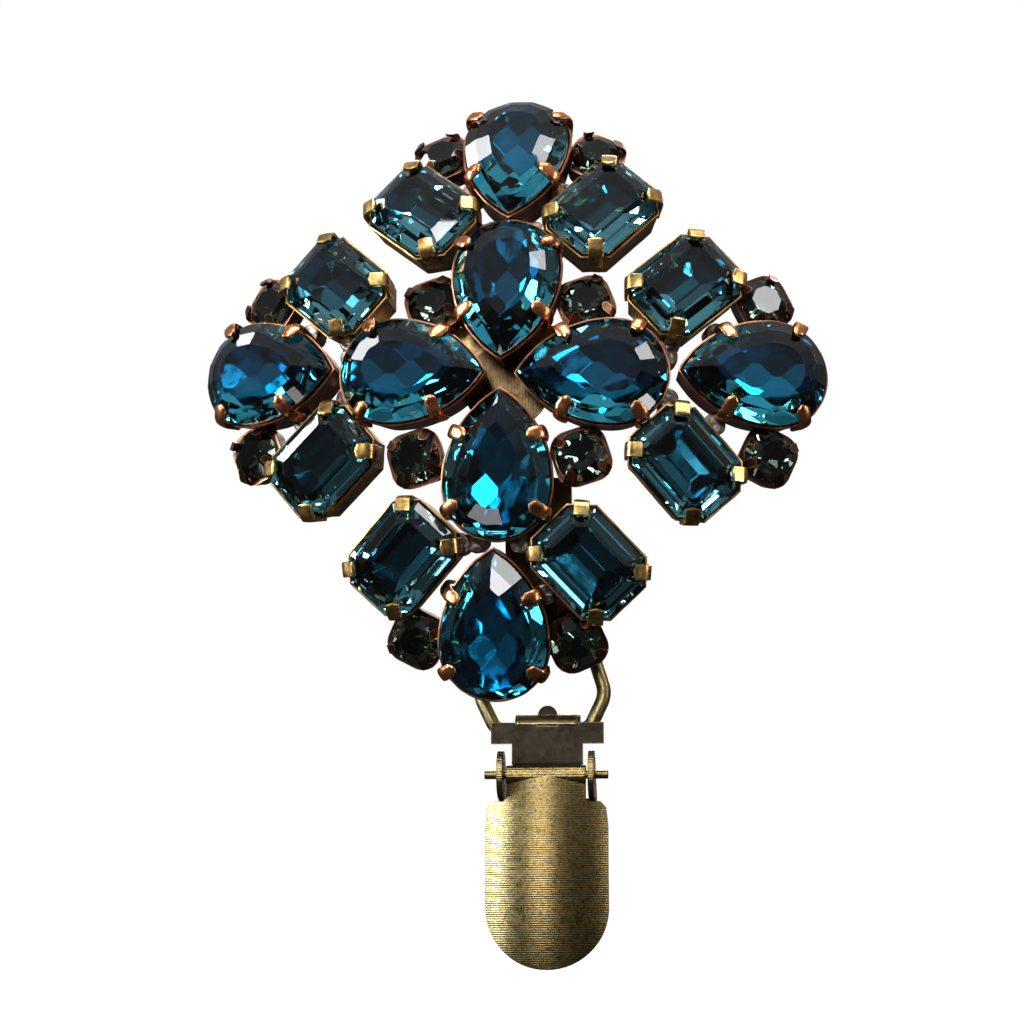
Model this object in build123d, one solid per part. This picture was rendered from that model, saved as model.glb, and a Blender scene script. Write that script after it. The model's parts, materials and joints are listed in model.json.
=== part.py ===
from build123d import *
import os
from math import atan, atan2, cos, degrees, pi, radians, sin, sqrt

# A jewelled brooch: a cross of claw-set glass stones soldered into a shallow dome, with a pin-back
# behind it and a small cam clip that hangs from a ring below it.
# The model is drawn about the crossing of the four arms: X to the right, Z up, and +Y away from
# the viewer, with y = 0 at the back of the settings at the top of the dome. The last step moves
# everything so that the origin is the middle of the pin stem.

# ---------------------------------------------------------------- driving dimensions (mm, degrees)
PEAR_LENGTH, PEAR_WIDTH = 18.0, 13.0
OCTAGON_LENGTH, OCTAGON_WIDTH, OCTAGON_CORNER = 13.0, 10.2, 2.3
CHATON_DIAMETER = 6.1
GIRDLE_HEIGHT = 4.8            # of the large stones, above the back of their settings
GIRDLE_THICKNESS = 0.25
WALL = 0.36                    # sheet metal of the settings
SEAT_GAP = 0.06                # between a stone and its setting
CHATON_GIRDLE_HEIGHT = 3.0
RIM_HEIGHT = GIRDLE_HEIGHT - 0.35
BASE_INSET = 0.35              # the large settings are this much smaller at the back
FLOOR = 0.45

DOME_RADIUS = 84.0
DOME_APEX_X, DOME_APEX_Z = 5.0, -6.0
PEAR_INNER, PEAR_OUTER = 10.5, 28.2      # distances of the pears' middles from the crossing
OCTAGON_ALONG, OCTAGON_ACROSS = 21.0, 10.4
OUTER_CHATON_ALONG, OUTER_CHATON_ACROSS = 30.2, 9.5
OUTER_CHATON_DROP = 0.4                  # they are tucked this much behind the dome
OCTAGON_TURN = 45.0                      # between an octagon's long axis and its arm

# The cluster is set by hand, so each arm leans a little and is a little long or short.
ARMS = {
    # name: (direction, its own stretch of the outer stones)
    "right": (0.6, 0.7),
    "top": (87.8, -0.4),
    "left": (175.6, 0.0),
    "bottom": (267.8, 0.4),
}

# Each octagon was soldered a little off its true place: (degrees, along, across), by arm and side.
OCTAGON_SLIPS = {
    ("right", "ccw"): (-4, 0.0, 0.2),
    ("right", "cw"): (-4, -0.4, 0.3),
    ("top", "ccw"): (5, -0.2, 0.3),
    ("top", "cw"): (5, 0.0, 0.3),
    ("left", "ccw"): (0, -0.5, 0.3),
    ("left", "cw"): (8, 0.0, 0.2),
    ("bottom", "ccw"): (0, 0.2, 0.3),
    ("bottom", "cw"): (4, 0.0, 0.4),
}

# The round stone between each arm and the next: its turn from the arm and its distance out.
INNER_CHATONS = {"right": (42.8, 13.3), "top": (44.0, 12.9), "left": (46.0, 13.9), "bottom": (46.2, 13.2)}

STRAP_X, STRAP_WIDTH, STRAP_THICKNESS = 3.75, 8.2, 0.8
RING_X, RING_Y, RING_WIRE = 3.75, 8.0, 0.87
RING_TOP_Z, RING_BOTTOM_Z, RING_WIDE_Z = -30.6, -41.6, -37.3
RING_TOP_HALF, RING_WIDE_HALF, RING_BOTTOM_HALF = 5.7, 7.8, 5.75
RING_CORNERS = (1.6, 3.2, 1.5)           # bending radii from the top corner down
LOOP_GAP = 0.22                          # round the ring's straight bars

CLIP_X = 4.45
SHEET = 0.67                             # sheet metal of the clip
HEAD_TOP_Z, HEAD_BOTTOM_Z, HEAD_HALF = -40.9, -43.5, 6.9
TAB_HALF = 3.95
NECK_HALF = 4.35
PIN_Y, PIN_Z, PIN_RADIUS, PIN_HALF = 4.7, -47.4, 0.5, 7.5
PIN_CLEARANCE = 0.08
JAW_NECK_HALF, JAW_HALF, JAW_BOTTOM_Z = 4.8, 7.45, -70.7
JAW_SHOULDER_Z, JAW_ROUND_Z = -50.6, -63.0
JAW_ARC_RADIUS, JAW_BOW_RADIUS = 15.0, 60.0   # the front jaw is domed across and along
JAW_CREST_Y, JAW_CREST_Z = 2.75, -57.0
EAR_IN, EAR_OUT, EAR_RADIUS = 5.15, 5.85, 2.9
BACK_JAW_Y, BACK_JAW_HALF, BACK_JAW_WIDE_Z = 6.9, 6.6, -55.5
LEVER_Y, LEVER_BOTTOM_Z = 9.5, -64.0

STEM_Y, STEM_Z, STEM_RADIUS, STEM_HALF = 8.6, 5.5, 0.45, 11.0
STEM_TIP_X, STEM_TIP_RADIUS = 15.6, 0.08
COLLAR_RADIUS = 0.85                     # of the stem's thick root, next to its eye
BAR_HALF, BAR_WIDTH, BAR_FRONT_Y, BAR_THICKNESS = 15.2, 5.0, 3.0, 0.9
HINGE_X, RIVET_RADIUS, EYE_RADIUS, EYE_HALF = -13.4, 0.4, 1.1, 0.9
LUG_THICKNESS, LUG_RADIUS, LUG_GAP = 0.6, 1.5, 0.12
RIVET_HEAD, RIVET_CLEARANCE = 0.3, 0.06
CATCH_X, CATCH_RADIUS, CATCH_BORE, CATCH_HALF = 13.2, 2.1, 1.4, 1.1
LOCK_RADIUS, LOCK_BORE, LOCK_HALF, SLOT_HALF = 1.34, 0.72, 1.7, 0.6


# ---------------------------------------------------------------- small helpers
def block(x0, x1, y0, y1, z0, z1):
    size = (x1 - x0, y1 - y0, z1 - z0)
    return Pos((x0 + x1) / 2, (y0 + y1) / 2, (z0 + z1) / 2) * Box(*size)


def rod(start, end, radius, end_radius=None):
    """A round bar or cone from one point to another."""
    a, b = Vector(*start), Vector(*end)
    plane = Plane(origin=a, z_dir=(b - a).normalized())
    height = (b - a).length
    if end_radius is None:
        return extrude(plane * Circle(radius), height)
    return loft([plane * Circle(radius), plane.offset(height) * Circle(end_radius)])


def profile_along_x(points, x0, x1):
    """A closed outline of (y, z) points, from x0 to x1."""
    outline = make_face(Plane.YZ.offset(x0) * Polyline(*points, close=True))
    return extrude(outline, x1 - x0, dir=(1, 0, 0))


def tube_along_x(y, z, outer, inner, x0, x1):
    ring = Plane.YZ.offset(x0) * Pos(y, z) * (Circle(outer) - Circle(inner))
    return extrude(ring, x1 - x0, dir=(1, 0, 0))


def facet(stone, foot, outward, steepness):
    """Grinds one flat on a stone: through foot, leaning back from outward by steepness."""
    lean = radians(steepness)
    normal = Vector(outward[0] * sin(lean), outward[1] * sin(lean), cos(lean))
    return split(stone, bisect_by=Plane(origin=foot, z_dir=normal), keep=Keep.BOTTOM)


def claw(reach, rise, width, rounded):
    """A claw bent over a stone's edge. u is outward from the girdle, h is up.

    It lies in the plane of u (X) and h (Z), with its foot let into the setting's wall.
    """
    top = rise + 1.68
    points = [(0.0, rise - 2.6), (0.36, rise - 2.6), (0.88, rise - 0.2), (0.74, rise + 0.65),
              (0.4, rise + 1.05), (-reach, top + 0.35), (-reach, top - 0.13), (0.26, rise + 0.46),
              (0.38, rise - 0.3)]
    section = make_face(Plane.XZ * Polyline(*points, close=True))
    finger = extrude(section, width / 2, dir=(0, 1, 0), both=True)
    if rounded:
        plan = Pos(2.0 - reach, 0) * SlotOverall(4.0, width)
        finger = finger & extrude(plan, rise + 6)
    return finger


# ---------------------------------------------------------------- pear stones and their settings
ROUND_RADIUS = PEAR_WIDTH / 2
ROUND_Y = ROUND_RADIUS - PEAR_LENGTH / 2
TIP_RISE = PEAR_LENGTH - ROUND_RADIUS
SIDE_RADIUS = (ROUND_RADIUS ** 2 + TIP_RISE ** 2) / (2 * ROUND_RADIUS)


def pear_tip(offset):
    return ROUND_Y + sqrt((SIDE_RADIUS + offset) ** 2 - (SIDE_RADIUS - ROUND_RADIUS) ** 2)


def pear_face(offset, height):
    """The pear outline: a round end and two side arcs that meet in a tip at +Y."""
    half = ROUND_RADIUS + offset
    tip = (0, pear_tip(offset))
    chord_angle = atan2(tip[1] - ROUND_Y, SIDE_RADIUS - ROUND_RADIUS) / 2
    middle = ROUND_RADIUS - SIDE_RADIUS + (SIDE_RADIUS + offset) * cos(chord_angle)
    middle_y = ROUND_Y + (SIDE_RADIUS + offset) * sin(chord_angle)
    wire = [
        ThreePointArc((-half, ROUND_Y), (0, ROUND_Y - half), (half, ROUND_Y)),
        ThreePointArc((half, ROUND_Y), (middle, middle_y), tip),
        ThreePointArc(tip, (-middle, middle_y), (-half, ROUND_Y)),
    ]
    return Pos(0, 0, height) * make_face(wire)


def pear_edge(y):
    """The point of the girdle at height y on the +X side, with its outward direction."""
    if y <= ROUND_Y:
        away = (sqrt(ROUND_RADIUS ** 2 - (y - ROUND_Y) ** 2), y - ROUND_Y)
        return (away[0], y), (away[0] / ROUND_RADIUS, away[1] / ROUND_RADIUS)
    rise = y - ROUND_Y
    run = sqrt(SIDE_RADIUS ** 2 - rise ** 2)
    return (run + ROUND_RADIUS - SIDE_RADIUS, y), (run / SIDE_RADIUS, rise / SIDE_RADIUS)


PEAR_FACET_HEIGHTS = [-8.4, -6.4, -3.2, 0.6, 4.2, 7.4]
CROWN_RISE = 2.1
PEAR_CROWN = ((0, 0, 40), (1.9, 1.45, 24))      # rows of facets: (inset, rise, steepness)
PEAR_PAVILION_STEEPNESS = 40
PEAR_UNDERSIDE = 3.5                            # stock below the girdle before grinding
PAVILION_DEPTH, PAVILION_SHIFT = 3.1, -0.5
HONEYCOMB = 3.1                          # between the middles of the facets on the back


def honeycomb_facets(stone, half_x, half_y):
    """Grinds the stone's back to six-sided facets: the tangent planes of a shallow bowl."""
    row_step = HONEYCOMB * sqrt(3) / 2
    rows = int(half_y / row_step)
    for row in range(-rows, rows + 1):
        for column in range(-3, 4):
            x, y = HONEYCOMB * (column + row % 2 / 2), row * row_step
            if (x / half_x) ** 2 + (y / half_y) ** 2 > 0.8:
                continue
            slope = (2 * PAVILION_DEPTH * x / half_x ** 2, 2 * PAVILION_DEPTH * y / half_y ** 2)
            steepness = sqrt(slope[0] ** 2 + slope[1] ** 2)
            outward = (slope[0] / steepness, slope[1] / steepness) if steepness else (1, 0)
            depth = PAVILION_DEPTH * (1 - (x / half_x) ** 2 - (y / half_y) ** 2)
            foot = (x, y + PAVILION_SHIFT, GIRDLE_HEIGHT - depth)
            stone = facet(stone, foot, outward, 180 - degrees(atan(steepness)))
    return stone


def pear_stone():
    low = GIRDLE_HEIGHT - PEAR_UNDERSIDE
    girdle_top = GIRDLE_HEIGHT + GIRDLE_THICKNESS
    stone = extrude(pear_face(0, low), girdle_top + CROWN_RISE - low)
    sides = [pear_edge(y) for y in PEAR_FACET_HEIGHTS]
    sides += [((-point[0], point[1]), (-out[0], out[1])) for point, out in sides]
    sides.append(((0, ROUND_Y - ROUND_RADIUS), (0, -1)))
    sides.append(((0, PEAR_LENGTH / 2), (0, 1)))
    for point, out in sides:
        for inset, rise, steepness in PEAR_CROWN:
            foot = (point[0] - out[0] * inset, point[1] - out[1] * inset, girdle_top + rise)
            stone = facet(stone, foot, out, steepness)
        stone = facet(stone, (*point, GIRDLE_HEIGHT), out, 180 - PEAR_PAVILION_STEEPNESS)
    return honeycomb_facets(stone, PEAR_WIDTH / 2, PEAR_LENGTH / 2)


CLAW_HEIGHTS = [-5.7, 3.7]


def pear_body():
    """The setting with its hollow still filled: what the solder flows round."""
    body = loft([pear_face(-BASE_INSET, 0), pear_face(SEAT_GAP + WALL, RIM_HEIGHT)])
    for y in CLAW_HEIGHTS:
        point, out = pear_edge(y)
        for side in (1, -1):
            turn = degrees(atan2(out[1], side * out[0]))
            body += Pos(side * point[0], point[1]) * Rot(0, 0, turn) * claw(1.5, GIRDLE_HEIGHT, 1.7, True)
    return body


def pear_hollow():
    return loft([pear_face(-BASE_INSET - WALL, FLOOR), pear_face(SEAT_GAP, RIM_HEIGHT)])


# ---------------------------------------------------------------- octagon stones and their settings
def octagon_face(offset, height):
    x, y = OCTAGON_WIDTH / 2 + offset, OCTAGON_LENGTH / 2 + offset
    cut = OCTAGON_CORNER + offset * (2 - sqrt(2))
    points = [(x, cut - y), (x, y - cut), (x - cut, y), (cut - x, y),
              (-x, y - cut), (-x, cut - y), (cut - x, -y), (x - cut, -y)]
    return Pos(0, 0, height) * make_face(Polyline(*points, close=True))


def octagon_sides():
    """Each side's distance along its outward direction."""
    corner = (OCTAGON_WIDTH / 2 + OCTAGON_LENGTH / 2 - OCTAGON_CORNER) / sqrt(2)
    diagonal = 1 / sqrt(2)
    sides = [((1, 0), OCTAGON_WIDTH / 2), ((-1, 0), OCTAGON_WIDTH / 2),
             ((0, 1), OCTAGON_LENGTH / 2), ((0, -1), OCTAGON_LENGTH / 2)]
    for sx in (1, -1):
        for sy in (1, -1):
            sides.append(((sx * diagonal, sy * diagonal), corner))
    return sides


OCTAGON_UNDERSIDE, OCTAGON_CROWN_RISE = 3.4, 1.5
OCTAGON_CROWN = ((0, 0, 42), (0.95, 0.8, 28))   # steps: (inset, rise, steepness)
OCTAGON_PAVILION = ((0, 0, 52), (1.1, 1.35, 38), (2.6, 2.5, 26))     # (inset, drop, steepness)


def octagon_stone():
    low = GIRDLE_HEIGHT - OCTAGON_UNDERSIDE
    girdle_top = GIRDLE_HEIGHT + GIRDLE_THICKNESS
    stone = extrude(octagon_face(0, low), girdle_top + OCTAGON_CROWN_RISE - low)
    for out, reach in octagon_sides():
        for inset, rise, steepness in OCTAGON_CROWN:
            foot = (out[0] * (reach - inset), out[1] * (reach - inset), girdle_top + rise)
            stone = facet(stone, foot, out, steepness)
        for inset, drop, steepness in OCTAGON_PAVILION:
            foot = (out[0] * (reach - inset), out[1] * (reach - inset), GIRDLE_HEIGHT - drop)
            stone = facet(stone, foot, out, 180 - steepness)
    return stone


def octagon_body():
    body = loft([octagon_face(-BASE_INSET, 0), octagon_face(SEAT_GAP + WALL, RIM_HEIGHT)])
    for out, _ in octagon_sides()[4:]:
        # the corner's middle is nearer the long axis than the diagonal through the centre
        x = (OCTAGON_WIDTH / 2 - OCTAGON_CORNER / 2) * (1 if out[0] > 0 else -1)
        y = (OCTAGON_LENGTH / 2 - OCTAGON_CORNER / 2) * (1 if out[1] > 0 else -1)
        turn = degrees(atan2(out[1], out[0]))
        body += Pos(x, y) * Rot(0, 0, turn) * claw(1.2, GIRDLE_HEIGHT, 1.9, False)
    return body


def octagon_hollow():
    return loft([octagon_face(-BASE_INSET - WALL, FLOOR), octagon_face(SEAT_GAP, RIM_HEIGHT)])


# ---------------------------------------------------------------- round chatons and their cups
CHATON_UNDERSIDE, CHATON_CROWN_RISE = 2.3, 0.95
CHATON_CROWN_STEEPNESS, CHATON_PAVILION_STEEPNESS = (36, 42), 42


def chaton_stone():
    radius = CHATON_DIAMETER / 2
    low = CHATON_GIRDLE_HEIGHT - CHATON_UNDERSIDE
    girdle_top = CHATON_GIRDLE_HEIGHT + GIRDLE_THICKNESS
    stone = extrude(Pos(0, 0, low) * Circle(radius), girdle_top + CHATON_CROWN_RISE - low)
    for step in range(16):
        angle = 2 * pi * step / 16
        out = (cos(angle), sin(angle))
        rim = radius - 0.02
        foot = (rim * out[0], rim * out[1], girdle_top)
        stone = facet(stone, foot, out, CHATON_CROWN_STEEPNESS[step % 2])
        if step % 2 == 0:
            foot = (rim * out[0], rim * out[1], CHATON_GIRDLE_HEIGHT)
            stone = facet(stone, foot, out, 180 - CHATON_PAVILION_STEEPNESS)
    return stone


CUP_WIDTH = 7.0


def chaton_body():
    top = CHATON_GIRDLE_HEIGHT - 0.1
    cup = loft([RectangleRounded(CUP_WIDTH - 1.2, CUP_WIDTH - 1.2, 1.6),
                Pos(0, 0, top) * RectangleRounded(CUP_WIDTH, CUP_WIDTH, 2.4)])
    for turn in (45, 135, 225, 315):
        foot = Rot(0, 0, turn) * Pos(CHATON_DIAMETER / 2, 0)
        cup += foot * claw(0.75, CHATON_GIRDLE_HEIGHT, 1.1, True)
    return cup


def chaton_hollow():
    return Pos(0, 0, FLOOR) * extrude(Circle(CHATON_DIAMETER / 2 + SEAT_GAP), CHATON_GIRDLE_HEIGHT - FLOOR)


# ---------------------------------------------------------------- places on the dome
def dome_depth(x, z):
    return DOME_RADIUS - sqrt(DOME_RADIUS ** 2 - (x - DOME_APEX_X) ** 2 - (z - DOME_APEX_Z) ** 2)


def seat(x, z, turn):
    """The place of a setting: its back on the dome, its +Y axis turned to `turn` in the front view."""
    depth = dome_depth(x, z)
    normal = Vector(x - DOME_APEX_X, depth - DOME_RADIUS, z - DOME_APEX_Z).normalized()
    ahead = Vector(cos(radians(turn)), 0, sin(radians(turn)))
    ahead = (ahead - normal * ahead.dot(normal)).normalized()
    return Plane(origin=(x, depth, z), x_dir=ahead.cross(normal), z_dir=normal).location


def arm_point(direction, along, across):
    c, s = cos(radians(direction)), sin(radians(direction))
    return along * c - across * s, along * s + across * c


nodes = {}
solder_spots = []


def bead(a, b, size):
    """Remembers a plug of solder midway between two places in the front view."""
    solder_spots.append(((a[0] + b[0]) / 2, (a[1] + b[1]) / 2, size))


pear, pear_solid, pear_void = pear_stone(), pear_body(), pear_hollow()
octagon, octagon_solid, octagon_void = octagon_stone(), octagon_body(), octagon_hollow()
chaton, chaton_solid, chaton_void = chaton_stone(), chaton_body(), chaton_hollow()
pear_cup = pear_solid - pear_void
octagon_cup = octagon_solid - octagon_void
chaton_cup = chaton_solid - chaton_void
seated = []                    # every large setting's filled body, in place
chatons = {arm: [] for arm in ARMS}

for arm, (direction, stretch) in ARMS.items():
    inner = arm_point(direction, PEAR_INNER, 0)
    outer = arm_point(direction, PEAR_OUTER + stretch, 0)
    for where, place in (("inner", inner), ("outer", outer)):
        location = seat(*place, direction + 180)
        nodes[f"pear_stone_{arm}_{where}"] = pear.moved(location)
        nodes[f"pear_setting_{arm}_{where}"] = pear_cup.moved(location)
        seated.append(pear_solid.moved(location))
    middle = (PEAR_INNER + PEAR_OUTER) / 2
    for sign in (1, -1):
        beside_tip = arm_point(direction, middle, sign * 2.6)
        bead(beside_tip, beside_tip, 1.0)
    for side, sign in (("ccw", 1), ("cw", -1)):
        twist, slip_along, slip_across = OCTAGON_SLIPS[arm, side]
        along = OCTAGON_ALONG + stretch / 3 + slip_along
        place = arm_point(direction, along, sign * (OCTAGON_ACROSS + slip_across))
        location = seat(*place, direction + 180 + sign * OCTAGON_TURN + twist)
        nodes[f"octagon_stone_{arm}_{side}"] = octagon.moved(location)
        nodes[f"octagon_setting_{arm}_{side}"] = octagon_cup.moved(location)
        seated.append(octagon_solid.moved(location))
        corner = arm_point(direction, OUTER_CHATON_ALONG + stretch, sign * OUTER_CHATON_ACROSS)
        chatons[arm].append(seat(*corner, direction + 25 * sign) * Pos(0, 0, -OUTER_CHATON_DROP))
        bead(arm_point(direction, along, sign * 6.2), arm_point(direction, along - 3, sign * 3.4), 1.1)
        bead(arm_point(direction, along + 3, sign * 6.0), arm_point(direction, along + 5, sign * 5.2), 1.0)
        bead(corner, arm_point(direction, along + 6, sign * 7.0), 1.0)
    turn, reach = INNER_CHATONS[arm]
    diagonal = arm_point(direction + turn, reach, 0)
    chatons[arm].append(seat(*diagonal, direction + 20))
    for arm_turn in (0, 2 * turn):
        bead(diagonal, arm_point(direction + arm_turn, PEAR_INNER, 0), 1.1)


# ---------------------------------------------------------------- solder, centre plate and strap
def strap_front(z):
    """The y of the strap's front face, which follows the backs of the settings."""
    for (y0, z0), (y1, z1) in zip(STRAP_FRONT, STRAP_FRONT[1:]):
        if z1 <= z <= z0:
            return y0 + (y1 - y0) * (z - z0) / (z1 - z0)
    raise ValueError(z)


LOOP_INNER = RING_WIRE + LOOP_GAP
LOOP_OUTER = LOOP_INNER + STRAP_THICKNESS
LOOP_FRONT_Y = RING_Y - LOOP_OUTER
STRAP_FRONT = [(1.1, -11.5), (2.2, -18.0), (3.9, -25.0), (LOOP_FRONT_Y, RING_TOP_Z + 0.2)]
STRAP_BACK = [(LOOP_FRONT_Y + 1.0, RING_TOP_Z + 1.6), (4.65, -24.6), (2.95, -17.8), (1.9, -11.4)]

strap_x = (STRAP_X - STRAP_WIDTH / 2, STRAP_X + STRAP_WIDTH / 2)
strap = profile_along_x(STRAP_FRONT + STRAP_BACK, *strap_x)
strap += tube_along_x(RING_Y, RING_TOP_Z, LOOP_OUTER, LOOP_INNER, *strap_x)
strap -= rod((strap_x[0] - 1, RING_Y, RING_TOP_Z), (strap_x[1] + 1, RING_Y, RING_TOP_Z), LOOP_INNER)
nodes["hanger_strap"] = strap

PLATE_RADIUS, PLATE_DEPTH, PLATE_THICKNESS = 5.4, 0.08, 0.6
plate = extrude(Circle(PLATE_RADIUS), PLATE_THICKNESS, dir=(0, 0, -1))
nodes["centre_plate"] = plate.moved(seat(0, 0, 0) * Pos(0, 0, -PLATE_DEPTH))


def boxes_meet(a, b):
    low, high = a.min, a.max
    return all(l <= o for l, o in zip(low, b.max)) and all(h >= o for h, o in zip(high, b.min))


def flow_round(shape, neighbours):
    """The shape without what it flowed round or was filed away for."""
    for other in neighbours:
        if other.solids() and boxes_meet(shape.bounding_box(), other.bounding_box()):
            shape = shape - other
    return shape


def largest(shape):
    return max(shape.solids(), key=lambda solid: solid.volume)


# The round stones' cups are filed away where they meet a larger setting.
filled_cups = []
for arm, places in chatons.items():
    nodes[f"chaton_stones_{arm}"] = Compound(children=[chaton.moved(place) for place in places])
    cups = [largest(flow_round(chaton_cup.moved(place), seated)) for place in places]
    nodes[f"chaton_settings_{arm}"] = Compound(children=cups)
    filled_cups += [chaton_solid.moved(place) for place in places]

# Soft solder: a short plug in each gap between settings, and a pad under the bar and the strap.
PLUG_RADIUS, PLUG_HEIGHT, PLUG_FLOOR = 1.25, 2.1, 0.1
PAD_RADIUS, PAD_OVERLAP = 1.5, 0.2
LEAST_PLUG = 2.0               # mm3; less than this would not hold
plugs = []
for x, z, size in solder_spots:
    plug = extrude(Circle(PLUG_RADIUS * size), PLUG_HEIGHT * size)
    plug = plug.moved(seat(x, z, 0) * Pos(0, 0, PLUG_FLOOR))
    plugs.append(flow_round(plug, seated + filled_cups + plugs + [strap, nodes["centre_plate"]]))
for x in (-10.5, 10.5):
    pad = rod((x, dome_depth(x, STEM_Z) - PAD_OVERLAP, STEM_Z), (x, BAR_FRONT_Y, STEM_Z), PAD_RADIUS)
    plugs.append(flow_round(pad, seated + filled_cups + plugs + [nodes["centre_plate"]]))
for x, z in ((0.8, -17.0), (0.8, -25.0)):
    pad = rod((x, dome_depth(x, z) - PAD_OVERLAP, z), (x, strap_front(z) + 0.3, z), PAD_RADIUS)
    plugs.append(flow_round(pad, seated + filled_cups + plugs + [strap]))
solder = [solid for plug in plugs for solid in plug.solids() if solid.volume > LEAST_PLUG]
nodes["solder_joints"] = Compound(children=solder)


# ---------------------------------------------------------------- pin-back
BAR_BACK_Y = BAR_FRONT_Y + BAR_THICKNESS
bar = block(-BAR_HALF, BAR_HALF, BAR_FRONT_Y, BAR_BACK_Y, STEM_Z - BAR_WIDTH / 2, STEM_Z + BAR_WIDTH / 2)
bar = fillet(bar.edges().filter_by(Axis.Y), 2.0)
for side in (1, -1):
    near = STEM_Z + side * (EYE_HALF + LUG_GAP)
    far = near + side * LUG_THICKNESS
    low, high = min(near, far), max(near, far)
    bar += block(HINGE_X - LUG_RADIUS, HINGE_X + LUG_RADIUS, BAR_BACK_Y - 0.1, STEM_Y, low, high)
    bar += rod((HINGE_X, STEM_Y, low), (HINGE_X, STEM_Y, high), LUG_RADIUS)
bar -= rod((HINGE_X, STEM_Y, STEM_Z - 3), (HINGE_X, STEM_Y, STEM_Z + 3), RIVET_RADIUS + 0.01)
nodes["pin_base_bar"] = bar

rivet_half = EYE_HALF + LUG_GAP + LUG_THICKNESS
rivet = rod((HINGE_X, STEM_Y, STEM_Z - rivet_half), (HINGE_X, STEM_Y, STEM_Z + rivet_half), RIVET_RADIUS)
for side in (1, -1):
    head = STEM_Z + side * rivet_half
    rivet += rod((HINGE_X, STEM_Y, head), (HINGE_X, STEM_Y, head + side * RIVET_HEAD), RIVET_RADIUS + 0.35)
nodes["pin_hinge_rivet"] = rivet

stem = rod((-STEM_HALF, STEM_Y, STEM_Z), (STEM_HALF, STEM_Y, STEM_Z), STEM_RADIUS)
stem += rod((STEM_HALF, STEM_Y, STEM_Z), (STEM_TIP_X, STEM_Y, STEM_Z), STEM_RADIUS, STEM_TIP_RADIUS)
stem += rod((HINGE_X, STEM_Y, STEM_Z), (-STEM_HALF, STEM_Y, STEM_Z), COLLAR_RADIUS)
stem += rod((HINGE_X, STEM_Y, STEM_Z - EYE_HALF), (HINGE_X, STEM_Y, STEM_Z + EYE_HALF), EYE_RADIUS)
stem -= rod((HINGE_X, STEM_Y, STEM_Z - 2), (HINGE_X, STEM_Y, STEM_Z + 2), RIVET_RADIUS + RIVET_CLEARANCE)
nodes["pin_stem"] = stem

catch = tube_along_x(STEM_Y, STEM_Z, CATCH_RADIUS, CATCH_BORE, CATCH_X - CATCH_HALF, CATCH_X + CATCH_HALF)
catch += block(CATCH_X - CATCH_HALF, CATCH_X + CATCH_HALF, BAR_BACK_Y, STEM_Y - CATCH_BORE - 0.2,
               STEM_Z - 1.1, STEM_Z + 1.1)
catch -= block(CATCH_X - 3, CATCH_X + 3, STEM_Y, STEM_Y + 3, STEM_Z - SLOT_HALF, STEM_Z + SLOT_HALF)
nodes["catch_housing"] = catch

lock_x = (CATCH_X - LOCK_HALF, CATCH_X + LOCK_HALF)
lock = tube_along_x(STEM_Y, STEM_Z, LOCK_RADIUS, LOCK_BORE, *lock_x)
lock -= block(CATCH_X - 3, CATCH_X + 3, STEM_Y, STEM_Y + 3, STEM_Z - SLOT_HALF, STEM_Z + SLOT_HALF)
lock += block(lock_x[0], lock_x[0] + 0.45, STEM_Y - 0.35, STEM_Y + 0.35, STEM_Z - 2.7, STEM_Z - 1.1)
nodes["catch_lock"] = lock


# ---------------------------------------------------------------- ring
ring_corners = [
    (RING_X + RING_TOP_HALF, RING_Y, RING_TOP_Z),
    (RING_X + RING_WIDE_HALF, RING_Y, RING_WIDE_Z),
    (RING_X + RING_BOTTOM_HALF, RING_Y, RING_BOTTOM_Z),
]
ring_corners += [(2 * RING_X - x, y, z) for x, y, z in reversed(ring_corners)]
ring_path = FilletPolyline(*ring_corners, radius=[*RING_CORNERS, *reversed(RING_CORNERS)], close=True)
ring_start = ring_path @ 0
ring_section = Plane(origin=ring_start, z_dir=ring_path % 0) * Circle(RING_WIRE)
nodes["ring"] = sweep(ring_section, path=ring_path)


# ---------------------------------------------------------------- cam clip
def clip_block(dx0, dx1, y0, y1, z0, z1):
    return block(CLIP_X + dx0, CLIP_X + dx1, y0, y1, z0, z1)


FOLD_INNER = RING_WIRE + LOOP_GAP
FOLD_OUTER = FOLD_INNER + SHEET
HEAD_FRONT_Y = RING_Y - FOLD_OUTER
HEAD_BACK_Y = RING_Y - FOLD_INNER
TAB_END_Z = RING_BOTTOM_Z - 0.6
BACK_JAW_BACK_Y = BACK_JAW_Y + SHEET

fold = tube_along_x(RING_Y, RING_BOTTOM_Z, FOLD_OUTER, FOLD_INNER, CLIP_X - TAB_HALF, CLIP_X + TAB_HALF)
fold &= clip_block(-8, 8, 0, 20, RING_BOTTOM_Z, RING_BOTTOM_Z + 5)
fold_back_y = (RING_Y + FOLD_INNER, RING_Y + FOLD_OUTER)
back_jaw = fold + clip_block(-TAB_HALF, TAB_HALF, *fold_back_y, TAB_END_Z, RING_BOTTOM_Z)
back_jaw += clip_block(-TAB_HALF, TAB_HALF, HEAD_FRONT_Y, HEAD_BACK_Y, HEAD_BOTTOM_Z, RING_BOTTOM_Z)
for side in (1, -1):
    inner, outer = sorted((side * (TAB_HALF - 0.1), side * HEAD_HALF))
    back_jaw += clip_block(inner, outer, HEAD_FRONT_Y, HEAD_BACK_Y, HEAD_BOTTOM_Z, HEAD_TOP_Z)
SLOT_BOTTOM_Z = HEAD_TOP_Z - 0.5
slot = [(-1.5, HEAD_TOP_Z + 0.1), (1.5, HEAD_TOP_Z + 0.1), (1.2, SLOT_BOTTOM_Z), (-1.2, SLOT_BOTTOM_Z)]
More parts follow.
